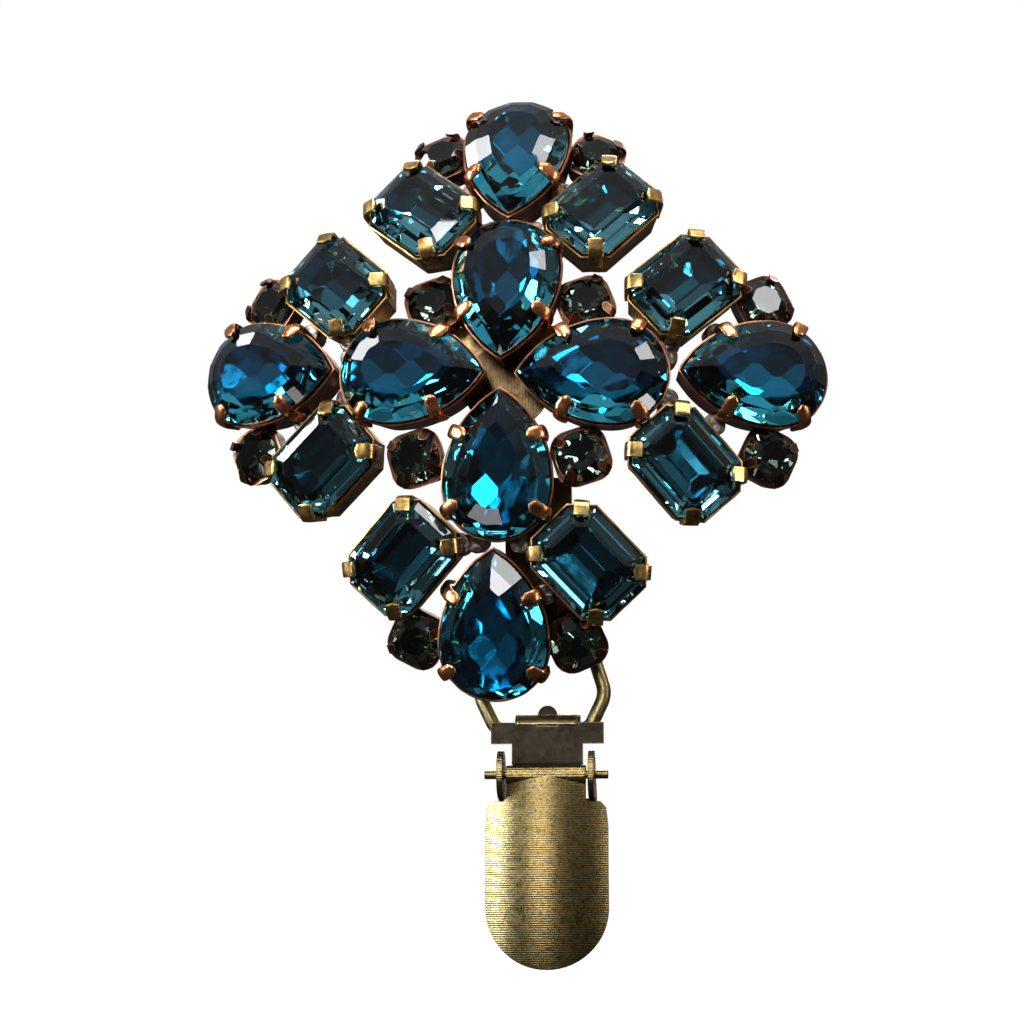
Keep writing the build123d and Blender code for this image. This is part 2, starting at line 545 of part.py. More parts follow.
slot_face = make_face(Plane.XZ * Polyline(*[(CLIP_X + x, z) for x, z in slot], close=True))
back_jaw -= extrude(slot_face, HEAD_BACK_Y + 0.05, dir=(0, 1, 0))
TONGUE_RADIUS = 1.2
tongue_foot = (CLIP_X, RING_Y - 1.0, RING_BOTTOM_Z + FOLD_OUTER - 0.15)
tongue = rod(tongue_foot, (tongue_foot[0], tongue_foot[1] + SHEET, tongue_foot[2]), TONGUE_RADIUS)
back_jaw += tongue & clip_block(-2, 2, 0, 20, tongue_foot[2], tongue_foot[2] + 3)
JOG_TOP_Z, JOG_BOTTOM_Z = -45.8, -50.0
neck = [(HEAD_FRONT_Y, HEAD_BOTTOM_Z + 0.1), (HEAD_FRONT_Y, JOG_TOP_Z), (BACK_JAW_Y, JOG_BOTTOM_Z),
        (BACK_JAW_Y, BACK_JAW_WIDE_Z - 1), (BACK_JAW_BACK_Y, BACK_JAW_WIDE_Z - 1),
        (BACK_JAW_BACK_Y, JOG_BOTTOM_Z), (HEAD_BACK_Y, JOG_TOP_Z), (HEAD_BACK_Y, HEAD_BOTTOM_Z + 0.1)]
back_jaw += profile_along_x(neck, CLIP_X - NECK_HALF, CLIP_X + NECK_HALF)
GRIP_BOTTOM_Z = -67.0
grip = [(-NECK_HALF, BACK_JAW_WIDE_Z), (NECK_HALF, BACK_JAW_WIDE_Z), (BACK_JAW_HALF, BACK_JAW_WIDE_Z - 1.8),
        (BACK_JAW_HALF, -63.5), (5.4, GRIP_BOTTOM_Z), (-5.4, GRIP_BOTTOM_Z), (-BACK_JAW_HALF, -63.5),
        (-BACK_JAW_HALF, BACK_JAW_WIDE_Z - 1.8)]
grip_face = make_face(Plane.XZ * Polyline(*[(CLIP_X + x, z) for x, z in grip], close=True))
back_jaw += Pos(0, BACK_JAW_Y, 0) * extrude(grip_face, SHEET, dir=(0, 1, 0))
TEETH_TIP_Y, TEETH_HALF = PIN_Y + 0.6, 4.0
TOOTH_PITCH, NOTCH_HALF = 1.5, 0.35
teeth_z = (GRIP_BOTTOM_Z, GRIP_BOTTOM_Z + SHEET)
back_jaw += clip_block(-TEETH_HALF, TEETH_HALF, TEETH_TIP_Y, BACK_JAW_Y + 0.1, *teeth_z)
for step in range(-2, 3):
    notch = (step * TOOTH_PITCH - NOTCH_HALF, step * TOOTH_PITCH + NOTCH_HALF)
    back_jaw -= clip_block(*notch, TEETH_TIP_Y - 1, TEETH_TIP_Y + 0.8, GRIP_BOTTOM_Z - 1, GRIP_BOTTOM_Z + 1)
nodes["clip_back_jaw"] = back_jaw

CURL_OUTER = PIN_RADIUS + PIN_CLEARANCE + SHEET
half_outline = [
    (JAW_NECK_HALF, PIN_Z),
    (JAW_NECK_HALF, JAW_SHOULDER_Z + 0.4),
    (JAW_NECK_HALF + 0.4, JAW_SHOULDER_Z),
    (JAW_HALF - 0.9, JAW_SHOULDER_Z),
    (JAW_HALF - 0.25, JAW_SHOULDER_Z - 0.7),
    (JAW_HALF, JAW_SHOULDER_Z - 3.0),
    (JAW_HALF, JAW_ROUND_Z),
]
right_side = [(CLIP_X + x, z) for x, z in half_outline]
left_side = [(CLIP_X - x, z) for x, z in reversed(half_outline)]
round_end = ThreePointArc(right_side[-1], (CLIP_X, JAW_BOTTOM_Z), left_side[0])
outline = make_face(Plane.XZ * (Polyline(*left_side, *right_side) + round_end))
sweep_radius = JAW_BOW_RADIUS - JAW_ARC_RADIUS
dome = Torus(sweep_radius, JAW_ARC_RADIUS) - Torus(sweep_radius, JAW_ARC_RADIUS - SHEET)
dome = Pos(CLIP_X, JAW_CREST_Y + JAW_BOW_RADIUS, JAW_CREST_Z) * Rot(0, 90, 0) * dome
front_jaw = dome & extrude(outline, 12, dir=(0, 1, 0))
curl = tube_along_x(PIN_Y, PIN_Z, CURL_OUTER, PIN_RADIUS + PIN_CLEARANCE, CLIP_X - JAW_NECK_HALF,
                    CLIP_X + JAW_NECK_HALF)
curl -= clip_block(-8, 8, PIN_Y + 0.1, PIN_Y + 4, PIN_Z - 4, PIN_Z - 0.3)
front_jaw = front_jaw + curl
front_jaw -= rod((CLIP_X - 8, PIN_Y, PIN_Z), (CLIP_X + 8, PIN_Y, PIN_Z), PIN_RADIUS + PIN_CLEARANCE)
nodes["clip_front_jaw"] = front_jaw

LEVER_BACK_Y = LEVER_Y + SHEET
LEVER_TOP_Z = -50.0
lever = clip_block(-EAR_OUT, EAR_OUT, LEVER_Y, LEVER_BACK_Y, LEVER_BOTTOM_Z, LEVER_TOP_Z)
lever = fillet(lever.edges().filter_by(Axis.Y).group_by(Axis.Z)[0], 3.5)
arm_outline = [
    (PIN_Y + 1.2, PIN_Z + 2.2),
    (LEVER_BACK_Y, LEVER_TOP_Z + 0.2),
    (LEVER_BACK_Y, LEVER_TOP_Z - 6.0),
    (PIN_Y + 0.4, PIN_Z - 2.85),
]
for side in (1, -1):
    near, far = sorted((side * EAR_IN, side * EAR_OUT))
    lever += profile_along_x(arm_outline, CLIP_X + near, CLIP_X + far)
    lever += rod((CLIP_X + near, PIN_Y, PIN_Z), (CLIP_X + far, PIN_Y, PIN_Z), EAR_RADIUS)
lever += clip_block(-4.3, 4.3, BACK_JAW_BACK_Y + 0.2, LEVER_Y + 0.1, LEVER_TOP_Z - 1.0, LEVER_TOP_Z - 0.2)
lever -= rod((CLIP_X - 8, PIN_Y, PIN_Z), (CLIP_X + 8, PIN_Y, PIN_Z), PIN_RADIUS)
nodes["clip_lever"] = lever

pin = rod((CLIP_X - PIN_HALF, PIN_Y, PIN_Z), (CLIP_X + PIN_HALF, PIN_Y, PIN_Z), PIN_RADIUS)
nodes["clip_pin"] = pin


# ---------------------------------------------------------------- write the parts
os.makedirs("parts", exist_ok=True)
to_origin = Location((0, -STEM_Y, -STEM_Z))
for name, shape in nodes.items():
    export_step(shape.moved(to_origin), f"parts/{name}.step")
print(len(nodes), "nodes")
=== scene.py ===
import json
from math import atan2, cos, pi, radians, sin, sqrt
from random import Random

import bmesh
import bpy
from mathutils import Matrix, Vector, noise as vector_noise

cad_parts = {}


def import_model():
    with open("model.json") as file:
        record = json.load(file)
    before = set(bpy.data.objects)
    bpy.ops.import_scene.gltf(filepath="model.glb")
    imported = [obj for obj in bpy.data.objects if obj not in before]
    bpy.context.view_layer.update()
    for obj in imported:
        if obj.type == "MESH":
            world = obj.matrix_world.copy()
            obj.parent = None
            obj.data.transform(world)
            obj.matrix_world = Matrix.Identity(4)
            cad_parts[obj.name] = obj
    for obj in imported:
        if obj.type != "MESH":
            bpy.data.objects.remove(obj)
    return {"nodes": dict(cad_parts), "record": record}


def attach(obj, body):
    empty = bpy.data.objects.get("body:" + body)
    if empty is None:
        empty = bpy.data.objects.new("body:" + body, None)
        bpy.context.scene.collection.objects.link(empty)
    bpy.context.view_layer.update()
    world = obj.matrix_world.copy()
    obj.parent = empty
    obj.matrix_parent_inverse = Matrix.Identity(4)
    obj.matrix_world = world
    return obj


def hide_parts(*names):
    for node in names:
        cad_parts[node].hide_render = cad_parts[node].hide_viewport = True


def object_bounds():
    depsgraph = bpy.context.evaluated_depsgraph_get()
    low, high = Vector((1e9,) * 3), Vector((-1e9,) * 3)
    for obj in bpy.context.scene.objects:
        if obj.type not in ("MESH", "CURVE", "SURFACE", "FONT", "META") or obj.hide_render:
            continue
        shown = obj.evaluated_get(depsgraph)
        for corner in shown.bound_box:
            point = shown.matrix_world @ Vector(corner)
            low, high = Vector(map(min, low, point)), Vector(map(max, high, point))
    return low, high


# The looks of the brooch. The stones become flat-faced glass with foil behind it, the large settings
# thin sheet cups with bent claws, and the solder crusty lumps. The other metal keeps its CAD shape.

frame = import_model()
CAD_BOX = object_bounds()
RECORD = frame["record"]
MM = 0.001
BODY_OF = {node: body for body, nodes in RECORD["behaviour"]["bodies"].items() for node in nodes}
SLOT_OF = {part["node"]: part["material_slot"] for part in RECORD["subparts"]}
NODES = sorted(SLOT_OF)
vector_noise.seed_set(7)      # otherwise its noise differs from run to run


# ---------------------------------------------------------------- node helpers
def new_material(name):
    material = bpy.data.materials.new(name)
    material.use_nodes = True
    tree = material.node_tree
    shader = next(n for n in tree.nodes if n.type == "BSDF_PRINCIPLED")
    return material, tree, shader


def add(tree, kind, **values):
    """A node with its sockets set by name, and its properties by a leading underscore."""
    node = tree.nodes.new(kind)
    for key, value in values.items():
        if key.startswith("_"):
            setattr(node, key[1:], value)
        else:
            node.inputs[key.replace("_", " ")].default_value = value
    return node


def join(tree, source, target):
    tree.links.new(source, target)


def object_position(tree):
    return add(tree, "ShaderNodeTexCoord").outputs["Object"]


def noise(tree, position, scale, detail=4.0, roughness=0.55):
    node = add(tree, "ShaderNodeTexNoise", Scale=scale, Detail=detail, Roughness=roughness)
    join(tree, position, node.inputs["Vector"])
    return node.outputs["Fac"]


def ramp(tree, source, stops):
    """A colour ramp; each stop is (position, colour)."""
    node = add(tree, "ShaderNodeValToRGB")
    elements = node.color_ramp.elements
    while len(elements) < len(stops):
        elements.new(0.5)
    for element, (position, colour) in zip(elements, stops):
        element.position = position
        element.color = (*colour, 1)
    join(tree, source, node.inputs["Fac"])
    return node.outputs["Color"]


def grey_ramp(tree, source, stops):
    return ramp(tree, source, [(position, (value,) * 3) for position, value in stops])


def mix(tree, factor, a, b, blend="MIX"):
    node = add(tree, "ShaderNodeMix", _data_type="RGBA", _blend_type=blend)
    join(tree, factor, node.inputs[0])
    for socket, value in ((node.inputs[6], a), (node.inputs[7], b)):
        if isinstance(value, tuple):
            socket.default_value = (*value, 1)
        else:
            join(tree, value, socket)
    return node.outputs[2]


def bump(tree, height, strength, distance, normal=None):
    node = add(tree, "ShaderNodeBump", Strength=strength, Distance=distance)
    join(tree, height, node.inputs["Height"])
    if normal is not None:
        join(tree, normal, node.inputs["Normal"])
    return node.outputs["Normal"]


def convex_edges(tree, radius):
    """1 on convex edges and corners, 0 on flats: where a handled piece is rubbed bright, and where the clip's
    edges are painted dark as shade.
    """
    soft = add(tree, "ShaderNodeBevel", Radius=radius, _samples=6)
    sharp = add(tree, "ShaderNodeNewGeometry")
    dot = add(tree, "ShaderNodeVectorMath", _operation="DOT_PRODUCT")
    join(tree, soft.outputs["Normal"], dot.inputs[0])
    join(tree, sharp.outputs["Normal"], dot.inputs[1])
    return grey_ramp(tree, dot.outputs["Value"], [(0.80, 1.0), (0.985, 0.0)])


# ---------------------------------------------------------------- materials
# Noise scales are per metre; the edge's width and the ribs' pitch are in metres.
def aged_metal(name, dark, middle, bright, rough=(0.28, 0.5), grain=900.0, edge=0.00018, ribs=None,
               patches=420.0, groove_darkening=0.0):
    """Plated brass or copper: blotchy patina, dirt in fine pits, and edges rubbed bright; the clip's edges
    are painted dark instead, as painted shade on its turned-back rim.
    """
    material, tree, shader = new_material(name)
    position = object_position(tree)
    patina = ramp(tree, noise(tree, position, patches, 8.0, 0.68),
                  [(0.34, dark), (0.52, middle), (0.72, middle)])
    # Edges take the edge tone as rubbed wear; for the clip that tone is its dark one, a painted shade on its
    # edges.
    edges = convex_edges(tree, edge)
    edged = mix(tree, edges, patina, bright)
    pits = grey_ramp(tree, noise(tree, position, grain * 2.2, 5.0, 0.7), [(0.30, 0.75), (0.42, 0.0)])
    surface = mix(tree, pits, edged, dark)
    fine = noise(tree, position, grain * 6, 3.0)
    if ribs:
        height = rib_height(tree, position, *ribs)
        grooves = grey_ramp(tree, height, [(0.15, groove_darkening), (0.65, 0.0)])
        surface = mix(tree, broken_up(tree, grooves, fine), surface, dark)
    join(tree, surface, shader.inputs["Base Color"])
    join(tree, grey_ramp(tree, noise(tree, position, grain, 5.0), [(0.3, rough[0]), (0.7, rough[1])]),
         shader.inputs["Roughness"])
    normal = bump(tree, fine, 0.15, 0.00002)
    if ribs:
        normal = bump(tree, height, 0.5, 0.00004, normal)
    join(tree, normal, shader.inputs["Normal"])
    shader.inputs["Metallic"].default_value = 1.0
    return material


def broken_up(tree, mask, speckle):
    """A mask with specks taken out of it, so that the darkening in the grooves is patchy."""
    node = add(tree, "ShaderNodeMath", _operation="MULTIPLY")
    join(tree, mask, node.inputs[0])
    join(tree, grey_ramp(tree, speckle, [(0.38, 0.15), (0.58, 1.0)]), node.inputs[1])
    return node.outputs[0]


def rib_height(tree, position, pitch, axis):
    """Fine parallel ribs, a little uneven, as rolled into sheet brass."""
    wave = add(tree, "ShaderNodeTexWave", Scale=0.5 / pitch, Distortion=0.8, Detail=2.0, Detail_Scale=1.5,
               _wave_type="BANDS", _bands_direction=axis, _wave_profile="SIN")
    join(tree, position, wave.inputs["Vector"])
    return wave.outputs["Fac"]


def stone_glass(name, tint, roughness=0.015):
    """Clear tinted glass with faint wear on its facets."""
    material, tree, shader = new_material(name)
    position = object_position(tree)
    deeper = tuple(value * 0.86 for value in tint)
    join(tree, ramp(tree, noise(tree, position, 140.0, 2.0), [(0.35, deeper), (0.65, tint)]),
         shader.inputs["Base Color"])
    scuffs = noise(tree, position, 2600.0, 3.0)
    join(tree, grey_ramp(tree, scuffs, [(0.55, roughness), (0.8, roughness + 0.06)]),
         shader.inputs["Roughness"])
    shader.inputs["Transmission Weight"].default_value = 1.0
    shader.inputs["IOR"].default_value = 1.55
    return material


def stone_foil(name, dark, middle, bright):
    """The coloured mirror foil behind a stone, a little crazed and uneven from facet to facet."""
    material, tree, shader = new_material(name)
    position = object_position(tree)
    tone = add(tree, "ShaderNodeAttribute", _attribute_name="tone").outputs["Fac"]
    facets = ramp(tree, tone, [(0.0, dark), (0.45, middle), (0.8, middle), (1.0, bright)])
    blotch = noise(tree, position, 700.0, 4.0)
    join(tree, mix(tree, grey_ramp(tree, blotch, [(0.45, 0.0), (0.75, 0.35)]), facets, dark),
         shader.inputs["Base Color"])
    join(tree, grey_ramp(tree, blotch, [(0.4, 0.06), (0.7, 0.22)]), shader.inputs["Roughness"])
    shader.inputs["Metallic"].default_value = 1.0
    return material


GLASS = {
    "pear_glass": stone_glass("pear_glass_clear", (0.055, 0.53, 0.74)),
    "octagon_glass": stone_glass("octagon_glass_clear", (0.15, 0.49, 0.60)),
    "chaton_glass": stone_glass("chaton_glass_clear", (0.10, 0.15, 0.12)),
}
FOIL = {
    "pear_glass": stone_foil("pear_foil", (0.10, 0.16, 0.20), (0.62, 0.78, 0.84), (0.95, 0.98, 1.0)),
    "octagon_glass": stone_foil("octagon_foil", (0.07, 0.11, 0.12), (0.54, 0.66, 0.70),
                                (0.85, 0.92, 0.95)),
    "chaton_glass": stone_foil("chaton_foil", (0.03, 0.035, 0.03), (0.14, 0.17, 0.15), (0.6, 0.65, 0.6)),
}
METAL = {
    "copper_setting": aged_metal("aged_copper", (0.055, 0.026, 0.017), (0.19, 0.078, 0.040),
                                 (0.62, 0.29, 0.16)),
    # The claws' copper is far brighter than the cup's: partly rubbed wear, partly a painted highlight where
    # they face the light.
    "copper_claws": aged_metal("rubbed_copper_painted_highlight", (0.17, 0.055, 0.024), (0.66, 0.26, 0.11), (0.95, 0.50, 0.27),
                               (0.18, 0.34)),
    "gold_setting": aged_metal("antique_gold", (0.075, 0.042, 0.014), (0.27, 0.155, 0.050),
                               (0.80, 0.56, 0.24)),
    "gold_tabs": aged_metal("rubbed_gold", (0.15, 0.085, 0.028), (0.50, 0.32, 0.11), (0.98, 0.78, 0.42),
                            (0.2, 0.38)),
    "chaton_cup": aged_metal("dark_copper", (0.03, 0.018, 0.013), (0.10, 0.05, 0.032), (0.50, 0.25, 0.15)),
    "solder": aged_metal("soft_solder", (0.07, 0.055, 0.045), (0.36, 0.31, 0.27), (0.72, 0.68, 0.64),
                         (0.3, 0.6), patches=900.0),
    "back_brass": aged_metal("oxidised_brass", (0.035, 0.023, 0.014), (0.11, 0.074, 0.040), (0.5, 0.38, 0.22),
                             ribs=(0.00055, "X")),
    "finding_brass": aged_metal("satin_brass", (0.16, 0.11, 0.045), (0.42, 0.31, 0.14), (0.9, 0.75, 0.45)),
    "stem_steel": aged_metal("drawn_steel", (0.35, 0.34, 0.32), (0.6, 0.58, 0.55), (0.85, 0.84, 0.82),
                             (0.15, 0.3)),
    "ring_brass": aged_metal("ring_brass", (0.09, 0.065, 0.026), (0.30, 0.23, 0.10), (0.75, 0.64, 0.38)),
    # The clip's edge tone is its dark one: painted shade on the jaw's turned-back edges.
    "clip_brass": aged_metal("clip_brass", (0.07, 0.052, 0.024), (0.25, 0.18, 0.070), (0.07, 0.052, 0.024),
                             (0.24, 0.34), edge=0.0004, ribs=(0.00042, "Z"), patches=3200.0, groove_darkening=0.5),
    # The tab's brass is near black: partly its own darker brass, partly painted shade of its recess behind
    # the jaw.
    "clip_dark": aged_metal("dark_brass_painted_shade", (0.011, 0.009, 0.006), (0.024, 0.019, 0.013), (0.22, 0.17, 0.10),
                            (0.36, 0.55)),
}


# ---------------------------------------------------------------- mesh helpers
def flat_faced(mesh):
    """A bmesh of a CAD node with each flat as one face."""
    work = bmesh.new()
    work.from_mesh(mesh)
    bmesh.ops.remove_doubles(work, verts=work.verts, dist=0.00001)
    bmesh.ops.dissolve_limit(work, angle_limit=radians(0.8), verts=work.verts, edges=work.edges)
    return work


def shells(work):
    """The faces of each closed shell in a bmesh."""
    left, found = set(work.faces), []
    while left:
        stack, shell = [left.pop()], []
        while stack:
            face = stack.pop()
            shell.append(face)
            for edge in face.edges:
                for other in edge.link_faces:
                    if other in left:
                        left.remove(other)
                        stack.append(other)
        found.append(shell)
    return found


def skin(work, rings):
    """Closed skin over a row of rings of corners."""
    for near, far in zip(rings, rings[1:]):
        for index in range(len(near)):
            after = (index + 1) % len(near)
            work.faces.new((near[index], near[after], far[after], far[index]))
    work.faces.new(reversed(rings[0]))
    work.faces.new(rings[-1])


def to_object(work, name, material, node, replaces=False):
    """Makes a bmesh an object that rides with a node's body, takes the given material and may stand for it.
    """
    mesh = bpy.data.meshes.new(name)
    work.to_mesh(mesh)
    work.free()
    mesh.materials.append(material)
    piece = bpy.data.objects.new(name, mesh)
    bpy.context.collection.objects.link(piece)
    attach(piece, BODY_OF[node])
    if replaces:
        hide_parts(node)
    return piece


# ---------------------------------------------------------------- stones
FOIL_GAP = 0.03 * MM
STEEP = 0.12              # facets that face up by more than this cosine are a stone's crown
draws = Random(7)         # one stream for the foils' tones, then the claws' and tabs' bends


def foil_shell(node):
    """The foil: the stone's lower facets, just behind them."""
    work = flat_faced(frame["nodes"][node].data)
    for shell in shells(work):
        table = max(shell, key=lambda face: face.calc_area())
        up = table.normal.copy()
        crown = [face for face in shell if face.normal.dot(up) > STEEP]
        for vert in {vert for face in shell for vert in face.verts}:
            vert.co += vert.normal * FOIL_GAP
        bmesh.ops.delete(work, geom=crown, context="FACES")
    tones = [draws.random() for _ in work.faces]
    foil = to_object(work, node + "_foil", FOIL[SLOT_OF[node]], node)
    foil.data.attributes.new("tone", "FLOAT", "FACE").data.foreach_set("value", tones)


def glass_body(node):
    """The stone itself, with flats for its facets."""
    work = flat_faced(frame["nodes"][node].data)
    to_object(work, node + "_glass", GLASS[SLOT_OF[node]], node, replaces=True)


# ---------------------------------------------------------------- settings
def measure_stone(node):
    """A stone's place (across, along and up from its girdle's middle), half width and half length."""
    work = flat_faced(frame["nodes"][node].data)
    table = max(work.faces, key=lambda face: face.calc_area())
    up = table.normal.copy()
    middle = sum((vert.co for vert in work.verts), Vector()) / len(work.verts)
    if "pear" in node:
        tip = max(work.verts, key=lambda vert: (vert.co - middle).cross(up).length)
        along = tip.co - middle
    else:
        side = max(table.edges, key=lambda edge: edge.calc_length())
        along = side.verts[1].co - side.verts[0].co
    along = (along - up * along.dot(up)).normalized()
    across = along.cross(up)
    spans = []
    for axis in (across, along, up):
        reach = [vert.co.dot(axis) for vert in work.verts]
        spans.append((min(reach), max(reach)))
    end = spans[1][1] - 0.01 * MM
    girdle = max(vert.co.dot(up) for vert in work.verts if vert.co.dot(along) > end)
    work.free()
    centre = across * sum(spans[0]) / 2 + along * sum(spans[1]) / 2 + up * girdle
    place = Matrix((across, along, up)).transposed().to_4x4()
    place.translation = centre
    return place, (spans[0][1] - spans[0][0]) / 2, (spans[1][1] - spans[1][0]) / 2


def back_of(node, place):
    """How far a setting's back lies below its stone's girdle."""
    inverse = place.inverted()
    return min((inverse @ vert.co).z for vert in frame["nodes"][node].data.vertices)


def pear_arcs(half_width, half_length):
    """The height of a pear's round end's centre, on its length, and the radius of its two side arcs."""
    rise = 2 * half_length - half_width
    return half_width - half_length, (half_width ** 2 + rise ** 2) / (2 * half_width)


def pear_outline(half_width, half_length, offset, steps=22):
    """The girdle, grown by offset: a round end and two side arcs that meet in a tip at +Y."""
    round_y, side = pear_arcs(half_width, half_length)
    end, flank, bend = half_width + offset, side + offset, side - half_width
    tip_angle = atan2(sqrt(flank ** 2 - bend ** 2), bend)
    points = []
    for step in range(2 * steps):
        angle = pi + pi * step / (2 * steps)
        points.append(Vector((end * cos(angle), round_y + end * sin(angle))))
    for step in range(steps):
        angle = tip_angle * step / steps
        points.append(Vector((-bend + flank * cos(angle), round_y + flank * sin(angle))))
    points.append(Vector((0, round_y + flank * sin(tip_angle))))
    for step in range(steps - 1, 0, -1):
        angle = tip_angle * step / steps
        points.append(Vector((bend - flank * cos(angle), round_y + flank * sin(angle))))
    return points


OCTAGON_CORNER = 2.3 * MM                 # cut off each side at each corner


def octagon_outline(half_width, half_length, offset, steps=6):
    """The girdle, grown by offset, with each straight side divided into short steps."""
    x, y = half_width + offset, half_length + offset
    cut = OCTAGON_CORNER + offset * (2 - sqrt(2))
    corners = [(x, cut - y), (x, y - cut), (x - cut, y), (cut - x, y),
               (-x, y - cut), (-x, cut - y), (cut - x, -y), (x - cut, -y)]
    points = []
    for (ax, ay), (bx, by) in zip(corners, corners[1:] + corners[:1]):
        for step in range(steps):
            share = step / steps
            points.append(Vector((ax + (bx - ax) * share, ay + (by - ay) * share)))
    return points


def wall_profile(back, rim):
    """The cup's section in metres: (offset from the girdle, height), from its back round its rim inside."""
    middle = (back + rim) / 2
    return [(-0.75 * MM, back), (-0.42 * MM, back + 0.02 * MM), (-0.32 * MM, back + 0.12 * MM),
            (-0.02 * MM, middle), (0.33 * MM, rim - 0.22 * MM), (0.42 * MM, rim - 0.08 * MM),
            (0.40 * MM, rim + 0.03 * MM), (0.27 * MM, rim + 0.10 * MM), (0.13 * MM, rim + 0.05 * MM),
            (0.05 * MM, rim - 0.10 * MM), (-0.32 * MM, middle), (-0.70 * MM, back + 0.45 * MM)]


def cup_wall(work, place, outline, back, rim, unevenness):
    """A sheet-metal cup: the section swept round the outline, bent by hand and a little uneven."""
    rings = []
    for offset, height in wall_profile(back, rim):
        ring = []
        for point in outline(offset):
            spot = place @ Vector((point.x, point.y, height))
            spot += vector_noise.noise_vector(spot * 900.0) * unevenness
            ring.append(work.verts.new(spot))
        rings.append(ring)
    skin(work, rings)


def smooth_path(points, steps=4):
    """A smooth line through given points."""
    ends = [points[0] * 2 - points[1], *points, points[-1] * 2 - points[-2]]
    line = []
    for a, b, c, d in zip(ends, ends[1:], ends[2:], ends[3:]):
        for step in range(steps):
            t = step / steps
            line.append(0.5 * (2 * b + (c - a) * t + (2 * a - 5 * b + 4 * c - d) * t ** 2
                               + (3 * b - a - 3 * c + d) * t ** 3))
    line.append(points[-1])
    return line


PRONG_SIDES = 16


def prong(work, place, path, half_width, half_thickness, power, rounding):
    """A prong bent over a stone. path is (outward, height); power 2 is an oval section, 6 nearly flat.
    Its end narrows over the last stretch, rounding long."""
    line = smooth_path([Vector(point) for point in path])
    reach = [(line[-1] - point).length for point in line]
    rings = []
    for index, point in enumerate(line):
        before, after = line[max(index - 1, 0)], line[min(index + 1, len(line) - 1)]
        ahead = (after - before).normalized()
        outward = Vector((ahead.y, -ahead.x))
        left = min(reach[index] / rounding, 1.0)
        narrow = sqrt(max(1 - (1 - left) ** 2, 0.02))
        ring = []
        for step in range(PRONG_SIDES):
            angle = 2 * pi * step / PRONG_SIDES
            c, s = cos(angle), sin(angle)
            swell = (abs(c) ** power + abs(s) ** power) ** (-1 / power)
            side, lift = c * swell * half_width * narrow, s * swell * half_thickness * (0.45 + 0.55 * narrow)
            spot = place @ Vector((point.x + outward.x * lift, side, point.y + outward.y * lift))
            spot += vector_noise.noise_vector(spot * 1400.0) * 0.03 * MM
            ring.append(work.verts.new(spot))
        rings.append(ring)
    skin(work, rings)


def finished(work, name, material, node, replaces, sharp=35):
    """The object of a bmesh, shaded smooth but for edges sharper than this, in degrees."""
    bmesh.ops.recalc_face_normals(work, faces=work.faces)
    for face in work.faces:
        face.smooth = True
    piece = to_object(work, name, material, node, replaces)
    piece.data.set_sharp_from_angle(angle=radians(sharp))
    return piece


def at_edge(place, point, turn):
    """The place of a prong: its X points outward from the girdle at this point."""
    return place @ Matrix.Translation((point[0], point[1], 0)) @ Matrix.Rotation(turn, 4, "Z")


# The bent line of a claw and of a tab in mm: (outward from the girdle, height above it), foot to end.
PEAR_PRONG = [(0.34, -2.6), (0.58, -1.4), (0.74, -0.5), (0.66, 0.42), (0.20, 1.04), (-0.60, 1.46),
              (-1.45, 1.90)]
TAB = [(0.30, -2.6), (0.48, -1.3), (0.64, -0.3), (0.62, 0.42), (0.28, 0.90), (-0.45, 1.26),
       (-1.15, 1.56)]
PEAR_PRONG_PLACES = (-0.633, 0.411)       # shares of the half length
RIM_BELOW_GIRDLE = 0.55 * MM


def bent(path, reach):
    """A prong's line in metres, with its part over the stone made longer or shorter."""
    return [(outward * MM * (reach if outward < 0 else 1), height * MM) for outward, height in path]


def pear_setting(node):
    """A copper cup, and four claws in pairs across the stone."""
    place, half_width, half_length = measure_stone(node.replace("setting", "stone"))
    back = back_of(node, place)
    work = bmesh.new()
    cup_wall(work, place, lambda offset: pear_outline(half_width, half_length, offset), back,
             -RIM_BELOW_GIRDLE, 0.05 * MM)
    finished(work, node + "_cup", METAL["copper_setting"], node, True)
    round_y, side = pear_arcs(half_width, half_length)
    work = bmesh.new()
    for share in PEAR_PRONG_PLACES:
        y = share * half_length
        if y < round_y:
            angle = atan2(y - round_y, sqrt(half_width ** 2 - (y - round_y) ** 2))
            x = half_width * cos(angle)
        else:
            angle = atan2(y - round_y, sqrt(side ** 2 - (y - round_y) ** 2))
            x = half_width - side + side * cos(angle)
        for turn, sign in ((angle, 1), (pi - angle, -1)):
            path = bent(PEAR_PRONG, draws.uniform(0.92, 1.06))
            lean = turn + radians(draws.uniform(-7, 7))
            prong(work, at_edge(place, (sign * x, y), lean), path, 0.86 * MM, 0.34 * MM, 2.4, 0.90 * MM)
    finished(work, node + "_claws", METAL["copper_claws"], node, False)


def octagon_setting(node):
    """A gold cup, and a flat tab over each cut corner."""
    place, half_width, half_length = measure_stone(node.replace("setting", "stone"))
    back = back_of(node, place)
    work = bmesh.new()
    cup_wall(work, place, lambda offset: octagon_outline(half_width, half_length, offset), back,
             -RIM_BELOW_GIRDLE, 0.06 * MM)
    finished(work, node + "_cup", METAL["gold_setting"], node, True, 30)
    work = bmesh.new()
    for sx in (1, -1):
        for sy in (1, -1):
            path = bent(TAB, draws.uniform(0.9, 1.08))
            foot = (sx * (half_width - OCTAGON_CORNER / 2), sy * (half_length - OCTAGON_CORNER / 2))
            lean = atan2(sy, sx) + radians(draws.uniform(-4, 4))
            prong(work, at_edge(place, foot, lean), path, 0.95 * MM, 0.28 * MM, 6.0, 0.22 * MM)
    finished(work, node + "_tabs", METAL["gold_tabs"], node, False)


SOLDER_SWELL, SOLDER_VOXEL = 0.16 * MM, 0.14 * MM
SOLDER_RISE, SOLDER_CRUST = 0.02 * MM, 0.13 * MM


